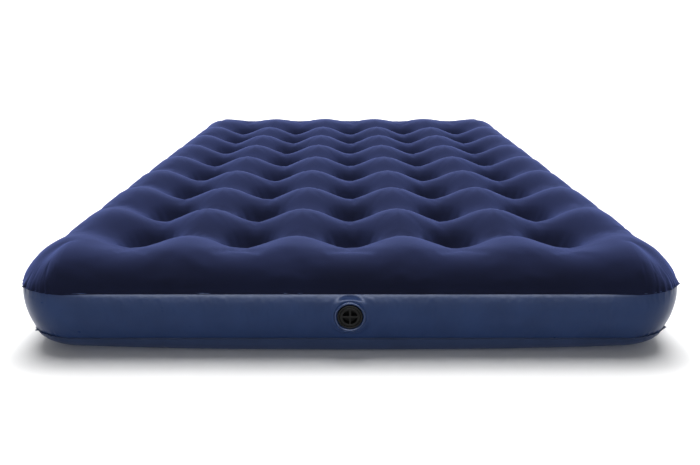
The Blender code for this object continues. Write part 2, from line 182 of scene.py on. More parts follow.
def value_noise(u, v, seed):
    """Smooth noise from -1 to 1 on a lattice of unit cells, the same on each run."""
    lattice = np.random.default_rng(seed).uniform(-1, 1, (256, 256))
    u0, v0 = np.floor(u).astype(int), np.floor(v).astype(int)
    fu, fv = u - u0, v - v0
    fu = fu * fu * fu * (fu * (fu * 6 - 15) + 10)
    fv = fv * fv * fv * (fv * (fv * 6 - 15) + 10)

    def corner(i, j):
        return lattice[(u0 + i) % 256, (v0 + j) % 256]

    near = corner(0, 0) * (1 - fu) + corner(1, 0) * fu
    far = corner(0, 1) * (1 - fu) + corner(1, 1) * fu
    return near * (1 - fv) + far * fv


def line_noise(s, length, seed):
    """Smooth noise along a seam, with features of the given length."""
    return value_noise(s / length, s * 0 + seed, seed)


def smooth_step(value, low, high):
    t = np.clip((value - low) / (high - low), 0, 1)
    return t * t * (3 - 2 * t)


def cell_offset(x, y):
    """Position relative to the nearest coil's axis, for points in the block of coils."""
    dx = np.mod(x + BLOCK_X, PITCH_X) - PITCH_X / 2
    dy = np.mod(y + BLOCK_Y, PITCH_Y) - PITCH_Y / 2
    return dx, dy


def wave_at(position, half_block, pitch):
    """0 between two lines of coils, 1 on a line; outside the block it stays 0."""
    inside = np.clip(position, -half_block, half_block)
    return (1 - np.cos(2 * np.pi * (inside + half_block) / pitch)) / 2


def crest_height(x, y):
    """Height of the rolls of the top, without the pits and the fall of the rim."""
    from_end = smooth_step(HALF_Y - np.abs(y), WAVE_FADE_START, WAVE_FADE_END)
    from_side = smooth_step(HALF_X - np.abs(x), WAVE_FADE_START, WAVE_FADE_END)
    across = wave_at(x, BLOCK_X, PITCH_X) * from_end
    along = wave_at(y, BLOCK_Y, PITCH_Y) * from_side
    return HEIGHT - WAVE_DEPTH * (across + along) / 2


def weld_groove(r):
    """Depth of the round weld over a coil's rim, at a distance from the coil's axis."""
    return WELD_DEPTH * np.exp(-((r - WELD_RADIUS) / WELD_WIDTH) ** 2)


def pit_folds(x, y):
    """Small folds that run out of a pit over its rim, turned differently in each cell."""
    dx, dy = cell_offset(x, y)
    column = np.floor((x + BLOCK_X) / PITCH_X)
    row = np.floor((y + BLOCK_Y) / PITCH_Y)
    phase = column * COLUMN_PHASE + row * ROW_PHASE
    angle = np.arctan2(dy, dx)
    folds = np.sin(FOLDS * angle + phase) + 0.6 * np.sin(SLOW_FOLDS * angle + 2 * phase)
    return FOLD_DEPTH * folds * np.exp(-((np.hypot(dx, dy) - FOLD_RADIUS) / FOLD_WIDTH) ** 2)


def top_height(x, y):
    """Height of the inflated top over the block of coils."""
    r = np.hypot(*cell_offset(x, y))
    dome = DOME_HEIGHT * np.clip(1 - (r / WELD_RADIUS) ** 2, 0, 1)
    floor = PIT_FLOOR_Z + dome - weld_groove(r)
    near = 1 - smooth_step(r, PIT_FLOOR_RADIUS, PIT_RADIUS)
    return crest_height(x, y) * (1 - near) + floor * near + pit_folds(x, y)


def under_height(x, y):
    """Height of the underside: flat strips on the floor and a dimple at each coil."""
    r = np.hypot(*cell_offset(x, y))
    near = 1 - smooth_step(r, UNDER_FLOOR_RADIUS, UNDER_DIMPLE_RADIUS)
    return UNDER_DIMPLE_DEPTH * near + weld_groove(r)


class Outline:
    """Stations once round the block of coils, anticlockwise from the left corner of the foot end."""

    def __init__(self, steps_x, steps_y, corner_steps):
        corners = [(0, 0), (steps_x, 0), (steps_x, steps_y), (0, steps_y)]
        outward = [(0, -1), (1, 0), (0, 1), (-1, 0)]
        index, direction = [], []
        for side in range(4):
            start, end = corners[side], corners[(side + 1) % 4]
            normal, following = outward[side], outward[(side + 1) % 4]
            steps = max(abs(end[0] - start[0]), abs(end[1] - start[1]))
            for step in range(steps + 1):
                i = start[0] + (end[0] - start[0]) * step // steps
                j = start[1] + (end[1] - start[1]) * step // steps
                index.append((i, j))
                direction.append(normal)
            for step in range(1, corner_steps):
                angle = math.pi / 2 * step / corner_steps
                along = math.cos(angle) ** (2 / CORNER_POWER)
                across = math.sin(angle) ** (2 / CORNER_POWER)
                index.append(end)
                direction.append((
                    normal[0] * along + following[0] * across,
                    normal[1] * along + following[1] * across,
                ))
        self.index = np.array(index)
        self.direction = np.array(direction, float)
        self.base = np.column_stack((
            self.index[:, 0] * 2 * BLOCK_X / steps_x - BLOCK_X,
            self.index[:, 1] * 2 * BLOCK_Y / steps_y - BLOCK_Y,
        ))
        edge = self.at(0.0)
        length = np.hypot(*(np.roll(edge, -1, axis=0) - edge).T)
        self.along = np.concatenate(([0], np.cumsum(length)[:-1]))
        bend = np.abs(self.direction[:, 0] * self.direction[:, 1])
        self.turn = bend / bend.max()
        self.corner = smooth_step(self.turn, *CORNER_TURN_SPAN)
        from_corner = (HALF_X - np.abs(edge[:, 0])) + (HALF_Y - np.abs(edge[:, 1]))
        self.tuck = TUCK_DEPTH * np.exp(-from_corner / TUCK_LENGTH)
        near_corner = 1 - smooth_step(from_corner, *CORNER_INSET_SPAN)
        self.top_inset = TOP_SEAM_INSET + (TOP_SEAM_CORNER_INSET - TOP_SEAM_INSET) * near_corner
        ahead = np.roll(edge, -1, axis=0) - np.roll(edge, 1, axis=0)
        ahead /= np.maximum(np.hypot(*ahead.T), 1e-9)[:, None]
        self.normal = np.column_stack((ahead[:, 1], -ahead[:, 0]))
        self.pleats = self.make_pleats()

    def make_pleats(self):
        """Folds that gather at the corners, as a wave along the seam from about -1 to 1."""
        wander = line_noise(self.along, PLEAT_WANDER_LENGTH, seed=5)
        creased = 1 - 2.4 * np.abs(line_noise(self.along, PLEAT_CREASE_LENGTH, seed=9))
        broad = np.sin(2 * np.pi * (self.along / PLEAT_LENGTH + 0.8 * wander) + 1.1)
        strength = 0.65 + 0.35 * line_noise(self.along, PLEAT_STRENGTH_LENGTH, seed=6)
        return (0.65 * creased + 0.35 * broad) * strength * self.corner

    def at(self, inset):
        """The loop that runs inside the bed's outline by the given inset, or an inset per station."""
        reach = np.stack((MARGIN_X - np.asarray(inset), MARGIN_Y - np.asarray(inset)), axis=-1)
        return self.base + self.direction * reach

    def loop(self, inset, height, push=0.0):
        """A closed loop of points, pushed outwards by the given amounts."""
        place = self.at(inset) + self.normal * np.broadcast_to(push, len(self.base))[:, None]
        return np.column_stack((place, np.broadcast_to(height, len(self.base))))


# Meshes

def make_object(name, points, faces):
    """An object in the bed's own frame, with smooth faces."""
    mesh = bpy.data.meshes.new(name)
    shifted = np.asarray(points, float) + np.array((0, BED_Y, 0))
    mesh.from_pydata(shifted.tolist(), [], faces)
    mesh.update()
    mesh.shade_smooth()
    piece = bpy.data.objects.new(name, mesh)
    bpy.context.scene.collection.objects.link(piece)
    return piece


def loop_faces(ring, following, flip=False):
    """Quads between two closed rings of vertex numbers; repeated numbers give triangles."""
    faces = []
    count = len(ring)
    for k in range(count):
        after = (k + 1) % count
        corners = [ring[k], following[k], following[after], ring[after]]
        unique = list(dict.fromkeys(corners))
        if len(unique) > 2:
            faces.append(unique[::-1] if flip else unique)
    return faces


# Steps along a side of a coil's cell, and the rings of points inside it, from its border inwards
CELL_SIDE = 16
ROUND_RINGS = (0.079, 0.070, 0.061, 0.054, 0.0485, 0.0440, 0.0410, 0.0385, 0.0350, 0.0240, 0.0120)
BLEND_RINGS = (0.68, 0.36)


def sheet_mesh(name, outline, height_rule, loops, upward):
    """A dimpled sheet: rings round each coil inside a cell, then loops from the block to the seam."""
    points, faces, lattice = [], [], {}

    def add(x, y):
        points.append((x, y))
        return len(points) - 1

    def on_lattice(i, j):
        if (i, j) not in lattice:
            lattice[i, j] = add(i * PITCH_X / CELL_SIDE - BLOCK_X, j * PITCH_Y / CELL_SIDE - BLOCK_Y)
        return lattice[i, j]

    side = range(CELL_SIDE)
    border = [(k, 0) for k in side] + [(CELL_SIDE, k) for k in side]
    border += [(CELL_SIDE - k, CELL_SIDE) for k in side] + [(0, CELL_SIDE - k) for k in side]
    for row in range(ROWS):
        for column in range(COLUMNS):
            centre_x = (column + 0.5) * PITCH_X - BLOCK_X
            centre_y = (row + 0.5) * PITCH_Y - BLOCK_Y
            ring = [on_lattice(column * CELL_SIDE + i, row * CELL_SIDE + j) for i, j in border]
            edge = np.array([points[v] for v in ring]) - (centre_x, centre_y)
            spoke = edge / np.hypot(*edge.T)[:, None]
            widest = spoke * ROUND_RINGS[0]
            rings = [widest + (edge - widest) * share for share in BLEND_RINGS]
            rings += [spoke * radius for radius in ROUND_RINGS]
            for offsets in rings:
                inner = [add(centre_x + dx, centre_y + dy) for dx, dy in offsets]
                faces += loop_faces(ring, inner, flip=upward)
                ring = inner
            faces.append(ring if upward else ring[::-1])
    flat = np.array(points)
    grid = np.column_stack((flat, height_rule(flat[:, 0], flat[:, 1])))
    ring = [lattice[i, j] for i, j in outline.index]
    total = len(grid)
    stacked = [grid]
    for loop in loops:
        following = list(range(total, total + len(loop)))
        faces += loop_faces(ring, following, flip=not upward)
        stacked.append(loop)
        total += len(loop)
        ring = following
    return make_object(name, np.vstack(stacked), faces)


def apply_modifiers(piece):
    """Keeps the shape that a piece's modifiers give it, and drops the modifiers."""
    graph = bpy.context.evaluated_depsgraph_get()
    result = bpy.data.meshes.new_from_object(piece.evaluated_get(graph))
    piece.modifiers.clear()
    piece.data = result


def add_gauge(piece, gauge):
    """Gives a sheet its real thickness, inwards."""
    shell = piece.modifiers.new("Gauge", "SOLIDIFY")
    shell.thickness = gauge
    shell.offset = -1
    shell.use_rim = True


def read_points(piece):
    co = np.empty(len(piece.data.vertices) * 3, np.float32)
    piece.data.vertices.foreach_get("co", co)
    return co.reshape(-1, 3).astype(float)


def write_points(piece, points):
    piece.data.vertices.foreach_set("co", points.astype(np.float32).ravel())
    piece.data.update()


# The sheets of the bed

def make_top_panel():
    outline = Outline(COLUMNS * CELL_SIDE, ROWS * CELL_SIDE, TOP_CORNER_STEPS)
    rough = line_noise(outline.along, 0.014, seed=8)
    facing_end = outline.direction[:, 1] ** 2 / (outline.direction ** 2).sum(axis=1)
    straight = SIDE_RIM_POWER + (END_RIM_POWER - SIDE_RIM_POWER) * facing_end
    power = straight + (CORNER_RIM_POWER - straight) * outline.turn
    seam_z = TOP_SEAM_Z + TOP_CORNER_LIFT * outline.turn
    loops = []
    for step in range(1, RIM_RINGS + 1):
        out = math.sin(math.pi / 2 * step / RIM_RINGS)
        place = outline.base + (outline.at(outline.top_inset) - outline.base) * out
        level = (1 - out ** power) ** (1 / power) if out < 1 else np.zeros(len(power))
        crest = crest_height(place[:, 0], place[:, 1])
        height = seam_z + (crest - seam_z) * level
        above = height - seam_z
        gather = np.exp(-above / RIM_GATHER_HEIGHT)
        push = TOP_PLEAT_PUSH * outline.pleats * gather + RIM_ROUGHNESS * rough * gather
        height = height + RIM_ROUGHNESS * (1 + rough) * gather
        height = height + TOP_PLEAT_LIFT * outline.pleats * np.exp(-above / TOP_LIFT_GATHER)
        place = place + outline.normal * push[:, None]
        loops.append(np.column_stack((place, height)))
    lip = loops[-1].copy()
    lip[:, :2] += outline.normal * (TOP_LIP_OUT + TOP_LIP_PLEAT * outline.pleats)[:, None]
    lip[:, 2] -= TOP_LIP_DOWN
    loops.append(lip)
    piece = sheet_mesh("flocked_top", outline, top_height, loops, upward=True)
    soften(piece)
    return piece


def soften(piece):
    """Slow unevenness of a sheet that isn't cut and filled perfectly; it only lowers the sheet."""
    co = read_points(piece)
    uneven = value_noise(co[:, 0] / 0.17 + 40, co[:, 1] / 0.17 + 40, seed=11)
    uneven += 0.5 * value_noise(co[:, 0] / 0.07 + 10, co[:, 1] / 0.07 + 10, seed=12)
    inward = smooth_step(co[:, 2], TOP_SEAM_Z, TOP_SEAM_Z + SAG_RISE)
    co[:, 2] -= (SAG + SAG_SWING * uneven) * inward
    write_points(piece, co)


# Distances of the band's rows below its upper edge, closest where it puckers
BAND_ROWS = (
    0.0, 0.0015, 0.0030, 0.0045, 0.0060, 0.0080, 0.0105, 0.0130, 0.0155, 0.018, 0.022, 0.028, 0.035,
    0.043, 0.051, 0.059, 0.066, 0.072, 0.0755, 0.079, 0.083, 0.088, 0.093, 0.0965, 0.0990, 0.1010,
)


def band_inset(z, top_inset):
    """How far the band lies inside the outline at a height: widest above its middle."""
    if z > BAND_WIDEST_Z:
        share = (z - BAND_WIDEST_Z) / (TOP_SEAM_Z - BAND_WIDEST_Z)
        return top_inset * min(share, 1.0) ** 2
    share = (BAND_WIDEST_Z - z) / (BAND_WIDEST_Z - BOTTOM_SEAM_Z)
    return BOTTOM_SEAM_INSET * share * share


def make_side_band():
    outline = Outline(*BAND_STEPS, BAND_CORNER_STEPS)
    edge = outline.along
    pucker = 0.4 * line_noise(edge, 0.0065, seed=21) + 0.4 * line_noise(edge, 0.019, seed=22)
    low_pucker = line_noise(edge, 0.013, seed=23)
    seam_wander = line_noise(edge, 0.040, seed=24) + 0.6 * line_noise(edge, 0.016, seed=25)
    slow = line_noise(edge, 0.110, seed=26)
    top_z = TOP_SEAM_Z + BAND_TOP_OVERLAP
    scale = (top_z - BOTTOM_SEAM_Z) / BAND_ROWS[-1]
    points = []
    for row in BAND_ROWS:
        below_top = row * scale
        above_bottom = (BAND_ROWS[-1] - row) * scale
        z = top_z - below_top
        middle = math.sin(math.pi * row / BAND_ROWS[-1])
        near_top = math.exp(-((below_top - TOP_PUCKER_DROP) / TOP_PUCKER_SPREAD) ** 2)
        near_bottom = math.exp(-((above_bottom - LOW_PUCKER_RISE) / LOW_PUCKER_SPREAD) ** 2)
        push = BAND_TOP_PUCKER * pucker * near_top
        push += BAND_LOW_PUCKER * low_pucker * near_bottom
        push += BAND_SLOW_WAVE * slow * middle * (1 - outline.corner)
        push += BAND_TOP_PLEAT * outline.pleats * math.exp(-below_top / BAND_TOP_GATHER)
        push += BAND_LOW_PLEAT * outline.pleats * math.exp(-above_bottom / BAND_LOW_GATHER)
        height = z + BAND_SEAM_WANDER * seam_wander * math.exp(-below_top / BAND_TOP_GATHER)
        height += CORNER_LIFT * outline.turn * (below_top / (below_top + above_bottom)) ** 2
        height += TOP_CORNER_LIFT * outline.turn * above_bottom / (below_top + above_bottom)
        height += BAND_PLEAT_LIFT * outline.pleats * math.exp(-below_top / BAND_LIFT_GATHER)
        inset = band_inset(z, outline.top_inset) + BAND_TOP_TUCK * (row == 0)
        points.append(outline.loop(inset, height, np.minimum(push, BAND_MOST_PUSH)))
    flatten_round_valve(points)
    faces = []
    count = len(points[0])
    for row in range(len(BAND_ROWS) - 1):
        ring = list(range(row * count, (row + 1) * count))
        faces += loop_faces(ring, [k + count for k in ring])
    return make_object("glossy_band", np.vstack(points), faces)


def flatten_round_valve(points):
    """Pulls the band into the plane that the valve's flange holds, in its own neighbourhood."""
    for ring in points:
        front = ring[:, 1] < -BLOCK_Y
        r = np.hypot(ring[:, 0] - VALVE.x, ring[:, 2] - VALVE.z)
        hold = (1 - smooth_step(r, VALVE_FLAT, VALVE_BLEND)) * front
        hold *= smooth_step(TOP_SEAM_Z - ring[:, 2], 0.001, 0.012)
        over_skirt = 1 - smooth_step(r, SKIRT_RADIUS - 0.0015, SKIRT_RADIUS + 0.0075)
        skirt = SKIRT_RISE * over_skirt * front
        ring[:, 1] = ring[:, 1] * (1 - hold) + (-HALF_Y) * hold - skirt


def open_valve_hole(piece):
    """Cuts the round hole for the valve's collar through the finished band."""
    bm = bmesh.new()
    bmesh.ops.create_cone(
        bm, cap_ends=True, segments=128, radius1=COLLAR_HOLE, radius2=COLLAR_HOLE, depth=0.03)
    mesh = bpy.data.meshes.new("hole_cutter")
    bm.to_mesh(mesh)
    bm.free()
    cutter = bpy.data.objects.new("hole_cutter", mesh)
    cutter.location = VALVE
    cutter.rotation_euler = (math.pi / 2, 0, 0)
    bpy.context.scene.collection.objects.link(cutter)
    cut = piece.modifiers.new("Valve hole", "BOOLEAN")
    cut.operation = "DIFFERENCE"
    cut.solver = "EXACT"
    cut.object = cutter
    apply_modifiers(piece)
    bpy.data.objects.remove(cutter)


def make_underside():
    outline = Outline(COLUMNS * CELL_SIDE, ROWS * CELL_SIDE, UNDER_CORNER_STEPS)
    rest = REST_INSET + outline.tuck
    seam_z = BOTTOM_SEAM_Z - 0.0004 + CORNER_LIFT * outline.turn
    loops = []
    start = (MARGIN_X + MARGIN_Y) / 2
    for step in range(1, REST_RINGS + 1):
        inset = start + (rest - start) * step / REST_RINGS
        loops.append(outline.loop(inset, 0.0))
    rough = line_noise(outline.along, 0.017, seed=31)
    for step in range(1, CURVE_RINGS + 1):
        angle = math.pi / 2 * step / CURVE_RINGS
        inset = rest - (rest - BOTTOM_SEAM_INSET) * math.sin(angle)
        height = seam_z * (1 - math.cos(angle))
        gather = np.exp(-(seam_z - height) / UNDER_GATHER_HEIGHT)
        push = (UNDER_PLEAT_PUSH * outline.pleats + RIM_ROUGHNESS * rough) * gather
        loops.append(outline.loop(inset, height, push))
    lip = loops[-1].copy()
    out = UNDER_LIP_OUT + UNDER_LIP_CORNER * outline.turn + UNDER_LIP_PLEAT * outline.pleats
    lip[:, :2] += outline.normal * out[:, None]
    lip[:, 2] -= UNDER_LIP_DOWN * (1 + outline.pleats)
    loops.append(lip)
    return sheet_mesh("underside", outline, under_height, loops, upward=False)


# Air pressure

TOP_SWELL = 0.003
TOP_SLACK = 0.012
BAND_SWELL = 0.0015
BAND_SLACK = 0.005
CLOTH_FRAMES = 12
CLOTH_PRESSURE = 4.0
HOLD_STEPS = 10
# From fully held to free: distances from a coil's axis, from a seam and from the valve's axis
TOP_COIL_HOLD = (WELD_RADIUS + 0.002, WELD_RADIUS + 0.016)
TOP_SEAM_HOLD = (0.004, 0.024)
BAND_UPPER_HOLD = (0.003, 0.011)
BAND_LOWER_HOLD = (0.001, 0.008)
BAND_VALVE_HOLD = (VALVE_BLEND, VALVE_BLEND + 0.010)


def hold_top(co):
    """How firmly the top is held: fully on the welds of the coils and along the seam."""
    x, y = co[:, 0], co[:, 1] - BED_Y
    in_block = (np.abs(x) < BLOCK_X) & (np.abs(y) < BLOCK_Y)
    on_coil = 1 - smooth_step(np.hypot(*cell_offset(x, y)), *TOP_COIL_HOLD)
    on_seam = 1 - smooth_step(co[:, 2] - TOP_SEAM_Z, *TOP_SEAM_HOLD)
    return np.maximum(on_coil, on_seam * ~in_block)


def hold_band(co):
    """How firmly the band is held: along both seams and round the valve."""
    upper = 1 - smooth_step(TOP_SEAM_Z - co[:, 2], *BAND_UPPER_HOLD)
    lower = 1 - smooth_step(co[:, 2] - BOTTOM_SEAM_Z, *BAND_LOWER_HOLD)
    r = np.hypot(co[:, 0] - VALVE.x, co[:, 2] - VALVE.z)
    near_valve = (1 - smooth_step(r, *BAND_VALVE_HOLD)) * (co[:, 1] < 0)
    return np.maximum(np.maximum(upper, lower), near_valve)


def swell(piece, hold_rule, cap, slack):
    """Lets air pressure swell a sheet between its welds in a cloth simulation, and keeps the shape.

    slack is the share of spare cloth, and no point moves further than cap.
    """
    before = read_points(piece)
    held = hold_rule(before)
    group = piece.vertex_groups.new(name="held")
    for level in range(1, HOLD_STEPS + 1):
        chosen = np.nonzero((held * HOLD_STEPS > level - 1) & (held * HOLD_STEPS <= level))[0]
        group.add(chosen.tolist(), level / HOLD_STEPS, "REPLACE")
    cloth = piece.modifiers.new("Pressure", "CLOTH")
    settings = cloth.settings
    settings.quality = 4
    settings.mass = 0.15
    settings.tension_stiffness = 12
    settings.compression_stiffness = 12
    settings.shear_stiffness = 5
    settings.bending_stiffness = 0.4
    settings.air_damping = 4
    settings.vertex_group_mass = group.name
    settings.use_pressure = True
    settings.uniform_pressure_force = CLOTH_PRESSURE
    settings.shrink_min = -slack
    settings.effector_weights.gravity = 0
    cloth.collision_settings.use_collision = False
    cloth.point_cache.frame_start = 1
    cloth.point_cache.frame_end = CLOTH_FRAMES
    for number in range(1, CLOTH_FRAMES + 1):
        bpy.context.scene.frame_set(number)
    swollen = piece.evaluated_get(bpy.context.evaluated_depsgraph_get())
    move = read_points(swollen) - before
    distance = np.maximum(np.linalg.norm(move, axis=1), 1e-9)
    limited = cap * np.tanh(distance / cap)
    piece.modifiers.clear()
    piece.vertex_groups.clear()
    write_points(piece, before + move * (limited / distance)[:, None])
    bpy.context.scene.frame_set(1)


# Materials

def new_material(name):
    material = bpy.data.materials.new(name)
    material.use_nodes = True
    tree = material.node_tree
    return material, tree, tree.nodes["Principled BSDF"]


def noise_node(tree, coordinates, scale, detail=3.0, roughness=0.5):
    noise = tree.nodes.new("ShaderNodeTexNoise")
    noise.inputs["Scale"].default_value = scale
    noise.inputs["Detail"].default_value = detail
    noise.inputs["Roughness"].default_value = roughness
    tree.links.new(coordinates, noise.inputs["Vector"])
    return noise


def object_coordinates(tree):
    return tree.nodes.new("ShaderNodeTexCoord").outputs["Object"]


def ramp_node(tree, factor, stops):
    ramp = tree.nodes.new("ShaderNodeValToRGB")
    elements = ramp.color_ramp.elements
    while len(elements) < len(stops):
        elements.new(0.5)
    for element, (position, colour) in zip(elements, stops):
        element.position = position
        element.color = colour
    tree.links.new(factor, ramp.inputs["Fac"])
    return ramp


def bump_node(tree, height, strength, distance, normal=None):
    bump = tree.nodes.new("ShaderNodeBump")
    bump.inputs["Strength"].default_value = strength
    bump.inputs["Distance"].default_value = distance
    tree.links.new(height, bump.inputs["Height"])
    if normal is not None:
        tree.links.new(normal, bump.inputs["Normal"])
    return bump


def tinted(colour, factor):
    return tuple(min(1.0, c * factor) for c in colour) + (1,)


def grey_level(value):
    """A grey that stands for a number in a colour ramp."""
    return (value, value, value, 1)


FLOCK = (0.0070, 0.0100, 0.0340)
FLOCK_SHEEN = (0.27, 0.37, 1.0, 1)


def flock_material():
    """Short navy pile: nearly black head on, blue where it is seen along the surface."""
    material, tree, shader = new_material("navy_flock")
    at = object_coordinates(tree)
    patches = noise_node(tree, at, scale=9, detail=4, roughness=0.55)
    tones = [(0.30, tinted(FLOCK, 0.85)), (0.70, tinted(FLOCK, 1.15))]
    colour = ramp_node(tree, patches.outputs["Fac"], tones)
    tree.links.new(colour.outputs["Color"], shader.inputs["Base Color"])
    pile = noise_node(tree, at, scale=1900, detail=2, roughness=0.6)
    lay = noise_node(tree, at, scale=160, detail=3, roughness=0.6)
    fine = bump_node(tree, pile.outputs["Fac"], strength=0.30, distance=0.0004)
    broad = bump_node(tree, lay.outputs["Fac"], 0.08, 0.0010, normal=fine.outputs["Normal"])
    tree.links.new(broad.outputs["Normal"], shader.inputs["Normal"])
    shader.inputs["Roughness"].default_value = 0.9
    shader.inputs["Specular IOR Level"].default_value = 0.05
    shader.inputs["Sheen Weight"].default_value = 0.50
    shader.inputs["Sheen Roughness"].default_value = 0.45
    shader.inputs["Sheen Tint"].default_value = FLOCK_SHEEN
    return material


VINYL_TINT = (0.80, 0.86, 1.0, 1)


def vinyl_material(name, base, roughness, specular):
    """PVC film with a faint unevenness that breaks up its highlights."""
    material, tree, shader = new_material(name)
    at = object_coordinates(tree)
    patches = noise_node(tree, at, scale=14, detail=3, roughness=0.5)
    tones = [(0.30, tinted(base, 0.9)), (0.70, tinted(base, 1.1))]
    colour = ramp_node(tree, patches.outputs["Fac"], tones)
    tree.links.new(colour.outputs["Color"], shader.inputs["Base Color"])
    ripple = noise_node(tree, at, scale=60, detail=4, roughness=0.55)
    grain = noise_node(tree, at, scale=900, detail=2, roughness=0.5)
    fine = bump_node(tree, grain.outputs["Fac"], strength=0.05, distance=0.0002)
    broad = bump_node(tree, ripple.outputs["Fac"], 0.18, 0.0012, normal=fine.outputs["Normal"])
    tree.links.new(broad.outputs["Normal"], shader.inputs["Normal"])
    stops = [(0.25, grey_level(roughness - 0.03)), (0.75, grey_level(roughness + 0.04))]
    rough = ramp_node(tree, ripple.outputs["Fac"], stops)
    tree.links.new(rough.outputs["Color"], shader.inputs["Roughness"])
    shader.inputs["Specular IOR Level"].default_value = specular
    shader.inputs["Specular Tint"].default_value = VINYL_TINT
    return material


def moulded_material(name, base, roughness, grain_scale=2600, metallic=0.0, specular=0.4):
    """Moulded plastic, rubber or drawn wire with a fine grain and slightly worn patches."""
    material, tree, shader = new_material(name)
    at = object_coordinates(tree)
    wear = noise_node(tree, at, scale=120, detail=4, roughness=0.6)
    tones = [(0.35, tinted(base, 1.0)), (0.75, tinted(base, 1.35))]
    colour = ramp_node(tree, wear.outputs["Fac"], tones)
    tree.links.new(colour.outputs["Color"], shader.inputs["Base Color"])
    grain = noise_node(tree, at, grain_scale, detail=2, roughness=0.6)
    bump = bump_node(tree, grain.outputs["Fac"], strength=0.12, distance=0.0002)
    tree.links.new(bump.outputs["Normal"], shader.inputs["Normal"])
    stops = [(0.30, grey_level(roughness - 0.05)), (0.80, grey_level(roughness + 0.08))]
    rough = ramp_node(tree, wear.outputs["Fac"], stops)
    tree.links.new(rough.outputs["Color"], shader.inputs["Roughness"])
    shader.inputs["Metallic"].default_value = metallic
    shader.inputs["Specular IOR Level"].default_value = specular
    return material


def give(piece, material):
    """Puts one material on a piece, in its first slot."""
    if piece.data.materials:
        piece.data.materials[0] = material
    else:
        piece.data.materials.append(material)


def declare(piece, body, slot, material, *nodes):
    """Puts the material on a piece, hangs the piece on the body it rides and hides the CAD nodes it
    stands in for. slot is not used.
    """
    give(piece, material)
    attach(piece, body)
    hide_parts(*nodes)


# Coils

COIL_LOW = FIRST_COIL[0].z
COIL_HIGH = FIRST_COIL[1].z
COIL_RADIUS = 0.0385
COIL_OPENING = math.radians(40)
COIL_STEPS = 48
COIL_ROWS = 6
COIL_WAIST = 0.0012


def coil_mesh():
    """A strip of film bent into an open loop, drawn in a little at half its height."""
    points, faces = [], []
    for row in range(COIL_ROWS + 1):
        share = row / COIL_ROWS
        radius = COIL_RADIUS - COIL_WAIST * math.sin(math.pi * share)
        height = COIL_LOW + (COIL_HIGH - COIL_LOW) * share
        for step in range(COIL_STEPS + 1):
            turn = COIL_OPENING / 2 + (2 * math.pi - COIL_OPENING) * step / COIL_STEPS
            points.append((radius * math.cos(turn), radius * math.sin(turn), height))
    width = COIL_STEPS + 1
    for row in range(COIL_ROWS):
        for step in range(COIL_STEPS):
            low = row * width + step
            faces.append((low, low + 1, low + width + 1, low + width))
    mesh = bpy.data.meshes.new("coil_strip")
    mesh.from_pydata(points, [], faces)
    mesh.shade_smooth()
    return mesh


def make_coils(material):
    mesh = coil_mesh()
    for row in range(ROWS):
        for column in range(COLUMNS):
            label = f"r{row + 1}_c{column + 1}"
            coil = bpy.data.objects.new(f"coil_strip_{label}", mesh)
            x = (column + 0.5) * PITCH_X - BLOCK_X
            y = (row + 0.5) * PITCH_Y - BLOCK_Y + BED_Y
            coil.location = (x, y, 0)
            bpy.context.scene.collection.objects.link(coil)
            add_gauge(coil, FILM_GAUGE)
            declare(coil, "bed", "coil_vinyl", material, f"coil_{label}")


# Valve: heights run along its axis, outward from the face of the band

TURNED_STEPS = 96
THREAD_PITCH = 0.004
THREAD_TURNS = 1.5
THREAD_ROOT_WIDTH = 0.0012
THREAD_CREST_WIDTH = 0.0006
THREAD_BITE = 0.0005
INSERT_ROOT = 0.0210
INSERT_CREST = 0.0223
BASE_ROOT = 0.0228
BASE_CREST = 0.0219
PLUG_ROOT = 0.0162
PLUG_CREST = 0.0174
BORE_ROOT = 0.0180
BORE_CREST = 0.0170
INSERT_THREAD_START = -0.0130
PLUG_THREAD_START = -0.0095
HINGE_Y = 0.0156
HINGE_HEIGHT = -0.0209
HINGE_LUGS = ((-0.0056, -0.0034), (0.0034, 0.0056))
HINGE_HOLE_RADIUS = 0.00095
HINGE_HOLE_REACH = 0.0070
LUG_HALF_HEIGHT = 0.0014
LUG_DROP = 0.0013
SEAT_HEIGHT = -0.0180
CROSS_HALF_WIDTH = 0.0021
CROSS_REACH = 0.0154
CROSS_BOTTOM = -0.0102
CROSS_TOP = 0.0036
CROSS_STEP = 0.0001
SHARP_ANGLE = math.radians(32)


def valve_object(name, bm):
    """An object on the valve's axis, local +Z outwards."""
    bmesh.ops.recalc_face_normals(bm, faces=bm.faces)
    mesh = bpy.data.meshes.new(name)
    bm.to_mesh(mesh)
    bm.free()
    mesh.shade_smooth()
    mesh.set_sharp_from_angle(angle=SHARP_ANGLE)
    piece = bpy.data.objects.new(name, mesh)
    piece.location = VALVE
    piece.rotation_euler = (math.pi / 2, 0, 0)
    bpy.context.scene.collection.objects.link(piece)
    return piece


def add_turned(bm, profile):
    """Turns a closed profile of (height, radius) round the axis."""
    rings = []
    for height, radius in profile:
        if radius == 0:
            rings.append([bm.verts.new((0, 0, height))] * TURNED_STEPS)
            continue
        ring = []
        for k in range(TURNED_STEPS):
            angle = 2 * math.pi * k / TURNED_STEPS
            ring.append(bm.verts.new((radius * math.cos(angle), radius * math.sin(angle), height)))
        rings.append(ring)
    pairs = list(zip(rings, rings[1:]))
    if profile[0][1] > 0:
        pairs.append((rings[-1], rings[0]))
    for ring, following in pairs:
        for k in range(TURNED_STEPS):
            after = (k + 1) % TURNED_STEPS
            corners = list(dict.fromkeys([ring[k], following[k], following[after], ring[after]]))
            bm.faces.new(corners)


def turned(name, profile):
    bm = bmesh.new()
    add_turned(bm, profile)
    return valve_object(name, bm)


